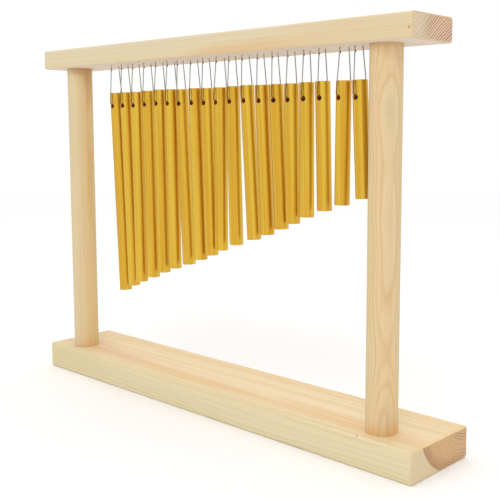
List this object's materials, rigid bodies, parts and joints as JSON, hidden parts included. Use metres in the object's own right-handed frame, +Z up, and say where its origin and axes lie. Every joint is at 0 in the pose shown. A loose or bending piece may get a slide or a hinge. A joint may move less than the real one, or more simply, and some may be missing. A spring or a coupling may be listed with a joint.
{
  "type": "bar chimes",
  "caption": "Tabletop bar chimes: a row of gold metal bars, long to short, hung on cord loops from the beam of a pine frame.",
  "frame": {"origin": "middle of the base board's underside", "axes": "+X along the beam from the longest bar to the shortest, +Y from the front to the back, +Z up"},
  "size_m": [0.43, 0.0698, 0.309],
  "materials": {
    "pine": "bare sanded pine",
    "gold_bars": "satin gold anodised",
    "cord": "thin twisted cord"
  },
  "bodies": {
    "frame": {"base_board": "pine", "post_left": "pine", "post_right": "pine", "top_beam": "pine", "cord_stitches": "cord"},
    "loop_01": {"cord_01": "cord"},
    "loop_02": {"cord_02": "cord"},
    "loop_03": {"cord_03": "cord"},
    "loop_04": {"cord_04": "cord"},
    "loop_05": {"cord_05": "cord"},
    "loop_06": {"cord_06": "cord"},
    "loop_07": {"cord_07": "cord"},
    "loop_08": {"cord_08": "cord"},
    "loop_09": {"cord_09": "cord"},
    "loop_10": {"cord_10": "cord"},
    "loop_11": {"cord_11": "cord"},
    "loop_12": {"cord_12": "cord"},
    "loop_13": {"cord_13": "cord"},
    "loop_14": {"cord_14": "cord"},
    "loop_15": {"cord_15": "cord"},
    "loop_16": {"cord_16": "cord"},
    "loop_17": {"cord_17": "cord"},
    "loop_18": {"cord_18": "cord"},
    "loop_19": {"cord_19": "cord"},
    "bar_01": {"chime_01": "gold_bars"},
    "bar_02": {"chime_02": "gold_bars"},
    "bar_03": {"chime_03": "gold_bars"},
    "bar_04": {"chime_04": "gold_bars"},
    "bar_05": {"chime_05": "gold_bars"},
    "bar_06": {"chime_06": "gold_bars"},
    "bar_07": {"chime_07": "gold_bars"},
    "bar_08": {"chime_08": "gold_bars"},
    "bar_09": {"chime_09": "gold_bars"},
    "bar_10": {"chime_10": "gold_bars"},
    "bar_11": {"chime_11": "gold_bars"},
    "bar_12": {"chime_12": "gold_bars"},
    "bar_13": {"chime_13": "gold_bars"},
    "bar_14": {"chime_14": "gold_bars"},
    "bar_15": {"chime_15": "gold_bars"},
    "bar_16": {"chime_16": "gold_bars"},
    "bar_17": {"chime_17": "gold_bars"},
    "bar_18": {"chime_18": "gold_bars"},
    "bar_19": {"chime_19": "gold_bars"}
  },
  "joints": [
    {"name": "swing_01", "type": "hinge", "parent": "frame", "child": "loop_01", "pos_m": [-0.12632, -0.0155, 0.291], "axis": [1, 0, 0], "range_deg": [-15, 15]},
    {"name": "rock_01", "type": "hinge", "parent": "loop_01", "child": "bar_01", "pos_m": [-0.12474, -0.01536, 0.25486], "axis": [-0.0872, 0.9962, 0], "range_deg": [-0.3, 14]},
    {"name": "swing_02", "type": "hinge", "parent": "frame", "child": "loop_02", "pos_m": [-0.11174, -0.0155, 0.291], "axis": [1, 0, 0], "range_deg": [-15, 15]},
    {"name": "rock_02", "type": "hinge", "parent": "loop_02", "child": "bar_02", "pos_m": [-0.11057, -0.01528, 0.25498], "axis": [-0.184, 0.9829, 0], "range_deg": [-0.4, 0.3]},
    {"name": "swing_03", "type": "hinge", "parent": "frame", "child": "loop_03", "pos_m": [-0.09563, -0.0155, 0.291], "axis": [1, 0, 0], "range_deg": [-15, 15]},
    {"name": "rock_03", "type": "hinge", "parent": "loop_03", "child": "bar_03", "pos_m": [-0.09513, -0.0154, 0.25492], "axis": [-0.1994, 0.9799, 0], "range_deg": [-2.3, 0.4]},
    {"name": "swing_04", "type": "hinge", "parent": "frame", "child": "loop_04", "pos_m": [-0.07935, -0.0155, 0.291], "axis": [1, 0, 0], "range_deg": [-15, 15]},
    {"name": "rock_04", "type": "hinge", "parent": "loop_04", "child": "bar_04", "pos_m": [-0.07867, -0.01542, 0.25542], "axis": [-0.1236, 0.9923, 0], "range_deg": [-1.4, 2.2]},
    {"name": "swing_05", "type": "hinge", "parent": "frame", "child": "loop_05", "pos_m": [-0.06308, -0.0155, 0.291], "axis": [1, 0, 0], "range_deg": [-15, 15]},
    {"name": "rock_05", "type": "hinge", "parent": "loop_05", "child": "bar_05", "pos_m": [-0.06265, -0.01546, 0.25596], "axis": [-0.1028, 0.9947, 0], "range_deg": [-1.6, 1.4]},
    {"name": "swing_06", "type": "hinge", "parent": "frame", "child": "loop_06", "pos_m": [-0.04773, -0.0155, 0.291], "axis": [1, 0, 0], "range_deg": [-15, 15]},
    {"name": "rock_06", "type": "hinge", "parent": "loop_06", "child": "bar_06", "pos_m": [-0.0473, -0.01547, 0.25579], "axis": [-0.068, 0.9977, 0], "range_deg": [-2.2, 1.6]},
    {"name": "swing_07", "type": "hinge", "parent": "frame", "child": "loop_07", "pos_m": [-0.03564, -0.0155, 0.291], "axis": [1, 0, 0], "range_deg": [-15, 15]},
    {"name": "rock_07", "type": "hinge", "parent": "loop_07", "child": "bar_07", "pos_m": [-0.03425, -0.01513, 0.25527], "axis": [-0.2588, 0.9659, 0], "range_deg": [-2.4, 2.3]},
    {"name": "swing_08", "type": "hinge", "parent": "frame", "child": "loop_08", "pos_m": [-0.01812, -0.0155, 0.291], "axis": [1, 0, 0], "range_deg": [-15, 15]},
    {"name": "rock_08", "type": "hinge", "parent": "loop_08", "child": "bar_08", "pos_m": [-0.01696, -0.01537, 0.25562], "axis": [-0.1115, 0.9938, 0], "range_deg": [-1, 2.3]},
    {"name": "swing_09", "type": "hinge", "parent": "frame", "child": "loop_09", "pos_m": [-0.0034, -0.0155, 0.291], "axis": [1, 0, 0], "range_deg": [-15, 15]},
    {"name": "rock_09", "type": "hinge", "parent": "loop_09", "child": "bar_09", "pos_m": [-0.00248, -0.01534, 0.25533], "axis": [-0.1719, 0.9851, 0], "range_deg": [-0.6, 1]},
    {"name": "swing_10", "type": "hinge", "parent": "frame", "child": "loop_10", "pos_m": [0.0135, -0.0155, 0.291], "axis": [1, 0, 0], "range_deg": [-15, 15]},
    {"name": "rock_10", "type": "hinge", "parent": "loop_10", "child": "bar_10", "pos_m": [0.01343, -0.0155, 0.25539], "axis": [0.0436, 0.999, 0], "range_deg": [-2.9, 0.6]},
    {"name": "swing_11", "type": "hinge", "parent": "frame", "child": "loop_11", "pos_m": [0.02713, -0.0155, 0.291], "axis": [1, 0, 0], "range_deg": [-15, 15]},
    {"name": "rock_11", "type": "hinge", "parent": "loop_11", "child": "bar_11", "pos_m": [0.02793, -0.01539, 0.2558], "axis": [-0.1392, 0.9903, 0], "range_deg": [-4.5, 3]},
    {"name": "swing_12", "type": "hinge", "parent": "frame", "child": "loop_12", "pos_m": [0.04201, -0.0155, 0.291], "axis": [1, 0, 0], "range_deg": [-15, 15]},
    {"name": "rock_12", "type": "hinge", "parent": "loop_12", "child": "bar_12", "pos_m": [0.04402, -0.01532, 0.25611], "axis": [-0.0889, 0.996, 0], "range_deg": [-1.7, 4.5]},
    {"name": "swing_13", "type": "hinge", "parent": "frame", "child": "loop_13", "pos_m": [0.05829, -0.0155, 0.291], "axis": [1, 0, 0], "range_deg": [-15, 15]},
    {"name": "rock_13", "type": "hinge", "parent": "loop_13", "child": "bar_13", "pos_m": [0.05987, -0.01525, 0.25573], "axis": [-0.1582, 0.9874, 0], "range_deg": [-2, 1.7]},
    {"name": "swing_14", "type": "hinge", "parent": "frame", "child": "loop_14", "pos_m": [0.07348, -0.0155, 0.291], "axis": [1, 0, 0], "range_deg": [-15, 15]},
    {"name": "rock_14", "type": "hinge", "parent": "loop_14", "child": "bar_14", "pos_m": [0.07498, -0.01516, 0.25582], "axis": [-0.2198, 0.9755, 0], "range_deg": [-0.9, 2.1]},
    {"name": "swing_15", "type": "hinge", "parent": "frame", "child": "loop_15", "pos_m": [0.08991, -0.0155, 0.291], "axis": [1, 0, 0], "range_deg": [-15, 15]},
    {"name": "rock_15", "type": "hinge", "parent": "loop_15", "child": "bar_15", "pos_m": [0.0904, -0.01546, 0.25572], "axis": [-0.0802, 0.9968, 0], "range_deg": [-1.8, 0.9]},
    {"name": "swing_16", "type": "hinge", "parent": "frame", "child": "loop_16", "pos_m": [0.10526, -0.0155, 0.291], "axis": [1, 0, 0], "range_deg": [-15, 15]},
    {"name": "rock_16", "type": "hinge", "parent": "loop_16", "child": "bar_16", "pos_m": [0.10537, -0.01548, 0.25614], "axis": [-0.1685, 0.9857, 0], "range_deg": [-3.8, 1.8]},
    {"name": "swing_17", "type": "hinge", "parent": "frame", "child": "loop_17", "pos_m": [0.11983, -0.0155, 0.291], "axis": [1, 0, 0], "range_deg": [-15, 15]},
    {"name": "rock_17", "type": "hinge", "parent": "loop_17", "child": "bar_17", "pos_m": [0.1206, -0.01538, 0.25639], "axis": [-0.153, 0.9882, 0], "range_deg": [-3.9, 3.8]},
    {"name": "swing_18", "type": "hinge", "parent": "frame", "child": "loop_18", "pos_m": [0.14013, -0.0155, 0.291], "axis": [1, 0, 0], "range_deg": [-15, 15]},
    {"name": "rock_18", "type": "hinge", "parent": "loop_18", "child": "bar_18", "pos_m": [0.13971, -0.01544, 0.25615], "axis": [0.1323, 0.9912, 0], "range_deg": [-6.5, 3.9]},
    {"name": "swing_19", "type": "hinge", "parent": "frame", "child": "loop_19", "pos_m": [0.15284, -0.0155, 0.291], "axis": [1, 0, 0], "range_deg": [-15, 15]},
    {"name": "rock_19", "type": "hinge", "parent": "loop_19", "child": "bar_19", "pos_m": [0.15461, -0.01556, 0.25605], "axis": [0.0349, 0.9994, 0], "range_deg": [-0.5, 6.5]}
  ]
}
